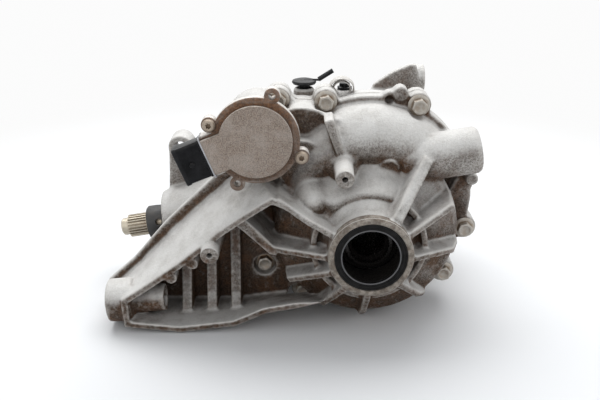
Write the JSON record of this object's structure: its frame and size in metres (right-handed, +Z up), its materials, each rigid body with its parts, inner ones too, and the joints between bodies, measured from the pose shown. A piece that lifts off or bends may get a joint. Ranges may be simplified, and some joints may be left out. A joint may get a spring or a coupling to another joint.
{
  "type": "rear differential",
  "caption": "Rear axle differential: two-piece cast housing with support arm, hypoid-style gear set, clutch, motor-driven actuator and splined input shaft.",
  "frame": {"origin": "centre of the near output seal's outer face, on the output shafts' axis", "axes": "+Y along the output axis into the housing, away from the near output; +Z up as it lies on the bench; +X to the rear, away from the input shaft, which leaves towards -X"},
  "size_m": [0.3391, 0.2495, 0.2158],
  "materials": {
    "cast_aluminium": "rough cast, dusty and stained",
    "can_aluminium": "satin",
    "rusty_plate": "dull, rusted at the rim",
    "zinc_steel": "dull zinc",
    "machined_steel": "machined",
    "gear_steel": "ground",
    "dark_bolts": "oiled black",
    "black_steel": "dull black",
    "bearing_steel": "polished",
    "rotor_steel": "dull",
    "cast_iron": "machined casting",
    "friction_lining": "matte",
    "magnet": "matte",
    "seal_rubber": "matte",
    "gasket": "matte",
    "black_plastic": "gloss",
    "breather_metal": "dull",
    "pin_brass": "satin"
  },
  "bodies": {
    "casing": {"side_cover": "cast_aluminium", "main_housing": "cast_aluminium", "cover_gasket": "gasket", "cover_bolts": "zinc_steel", "dowel_sleeves": "machined_steel", "fill_plug": "zinc_steel", "drain_plug": "zinc_steel", "near_output_seal": "seal_rubber", "far_output_seal": "seal_rubber", "near_carrier_outer_race": "bearing_steel", "far_carrier_outer_race": "bearing_steel", "pinion_head_outer_race": "bearing_steel", "pinion_tail_outer_race": "bearing_steel", "pinion_seal": "seal_rubber", "ramp_guide_pins": "machined_steel", "idler_pin": "machined_steel", "actuator_housing": "can_aluminium", "actuator_cover": "rusty_plate", "actuator_screws": "zinc_steel", "actuator_connector": "black_plastic", "connector_pins": "pin_brass", "motor_magnets": "magnet", "breather": "breather_metal", "top_fitting": "black_plastic"},
    "carrier": {"differential_case": "cast_iron", "ring_gear": "gear_steel", "ring_gear_bolts": "dark_bolts", "clutch_drum": "cast_iron", "steel_plates": "machined_steel", "near_carrier_inner_race": "bearing_steel", "near_carrier_rollers": "bearing_steel", "far_carrier_inner_race": "bearing_steel", "far_carrier_rollers": "bearing_steel", "cross_pin": "machined_steel", "side_gear_washers": "pin_brass"},
    "pinion": {"pinion_shaft": "gear_steel", "pinion_spacer": "machined_steel", "pinion_nut": "zinc_steel", "dust_shield": "black_steel", "pinion_head_inner_race": "bearing_steel", "pinion_head_rollers": "bearing_steel", "pinion_tail_inner_race": "bearing_steel", "pinion_tail_rollers": "bearing_steel"},
    "near_output": {"near_side_gear": "gear_steel", "clutch_hub": "machined_steel", "friction_plates": "friction_lining"},
    "far_output": {"far_side_gear": "gear_steel"},
    "upper_spider": {"upper_spider_gear": "gear_steel"},
    "lower_spider": {"lower_spider_gear": "gear_steel"},
    "turning_ramp": {"ramp_ring_turning": "machined_steel"},
    "sliding_ramp": {"ramp_ring_sliding": "machined_steel", "thrust_bearing": "bearing_steel"},
    "ball_cage": {"ramp_ball_cage": "pin_brass", "ramp_balls": "bearing_steel"},
    "pressure": {"pressure_plate": "machined_steel"},
    "idler": {"idler_gear": "gear_steel"},
    "rotor": {"motor_rotor": "rotor_steel"}
  },
  "joints": [
    {"name": "carrier_spin", "type": "hinge", "parent": "casing", "child": "carrier", "pos_m": [0, 0.15, 0], "axis": [0, 1, 0], "continuous": true},
    {"name": "pinion_spin", "type": "hinge", "parent": "casing", "child": "pinion", "pos_m": [0, 0.15, 0], "axis": [-0.9866, 0, -0.1633], "continuous": true},
    {"name": "near_output_spin", "type": "hinge", "parent": "carrier", "child": "near_output", "pos_m": [0, 0.08, 0], "axis": [0, 1, 0], "continuous": true},
    {"name": "far_output_spin", "type": "hinge", "parent": "carrier", "child": "far_output", "pos_m": [0, 0.19, 0], "axis": [0, 1, 0], "continuous": true},
    {"name": "upper_spider_spin", "type": "hinge", "parent": "carrier", "child": "upper_spider", "pos_m": [0, 0.15, 0.024], "axis": [0, 0, 1], "continuous": true},
    {"name": "lower_spider_spin", "type": "hinge", "parent": "carrier", "child": "lower_spider", "pos_m": [0, 0.15, -0.024], "axis": [0, 0, 1], "continuous": true},
    {"name": "ramp_turn", "type": "hinge", "parent": "casing", "child": "turning_ramp", "pos_m": [0, 0.058, 0], "axis": [0, 1, 0], "range_deg": [0, 30]},
    {"name": "idler_spin", "type": "hinge", "parent": "casing", "child": "idler", "pos_m": [-0.05659, 0.064, 0.06208], "axis": [0, 1, 0], "range_deg": [-150, 0]},
    {"name": "motor_spin", "type": "hinge", "parent": "casing", "child": "rotor", "pos_m": [-0.093, 0.045, 0.091], "axis": [0, 1, 0], "range_deg": [0, 625]},
    {"name": "ramp_slide", "type": "slide", "parent": "casing", "child": "sliding_ramp", "axis": [0, 1, 0], "range_m": [0, 0.0012]},
    {"name": "ball_cage_turn", "type": "hinge", "parent": "casing", "child": "ball_cage", "pos_m": [0, 0.0632, 0], "axis": [0, 1, 0], "range_deg": [0, 15]},
    {"name": "pressure_plate_slide", "type": "slide", "parent": "carrier", "child": "pressure", "axis": [0, 1, 0], "range_m": [0, 0.0012]}
  ],
  "couplings": [
    {"joint": "pinion_spin", "follows": "carrier_spin", "ratio": -2.6154},
    {"joint": "far_output_spin", "follows": "near_output_spin", "ratio": -1},
    {"joint": "upper_spider_spin", "follows": "near_output_spin", "ratio": 1.6},
    {"joint": "lower_spider_spin", "follows": "near_output_spin", "ratio": -1.6},
    {"joint": "idler_spin", "follows": "ramp_turn", "ratio": -5},
    {"joint": "motor_spin", "follows": "ramp_turn", "ratio": 20.833},
    {"joint": "ramp_slide", "follows": "ramp_turn", "m_per_rad": 0.0022916},
    {"joint": "ball_cage_turn", "follows": "ramp_turn", "ratio": 0.5},
    {"joint": "pressure_plate_slide", "follows": "ramp_turn", "m_per_rad": 0.0022916}
  ]
}
